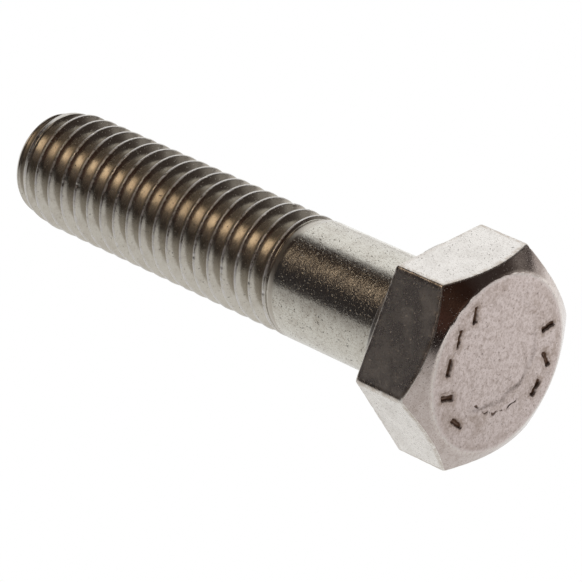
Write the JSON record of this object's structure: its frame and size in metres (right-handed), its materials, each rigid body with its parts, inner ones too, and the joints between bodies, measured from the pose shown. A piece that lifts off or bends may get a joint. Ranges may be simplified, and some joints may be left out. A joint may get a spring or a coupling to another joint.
{
  "type": "hex bolt",
  "caption": "Hexagon head bolt with a washer face, a plain shank and a right-hand coarse thread with a chamfered point, lying on its side.",
  "frame": {"origin": "centre of the bearing face under the head, on the bolt's axis", "axes": "+X along the axis, out of the head; -X towards the point; +Z out of the flat that faces up; +Y completes the right-handed frame"},
  "size_m": [0.0404, 0.0148, 0.0128],
  "materials": {
    "head_steel": "matte pressed top, drawn flats, bright chamfer",
    "bearing_steel": "satin, turned",
    "fillet_steel": "satin",
    "shank_steel": "half-bright, pitted, drawn along the axis",
    "runout_steel": "half-bright, rolled",
    "thread_steel": "half-bright, rolled, bright crests",
    "point_steel": "half-bright, rolled, cut end"
  },
  "bodies": {
    "root": {"hex_head": "head_steel", "washer_face": "bearing_steel", "head_fillet": "fillet_steel", "plain_shank": "shank_steel", "thread_runout": "runout_steel", "rolled_thread": "thread_steel", "chamfered_point": "point_steel"}
  },
  "joints": []
}
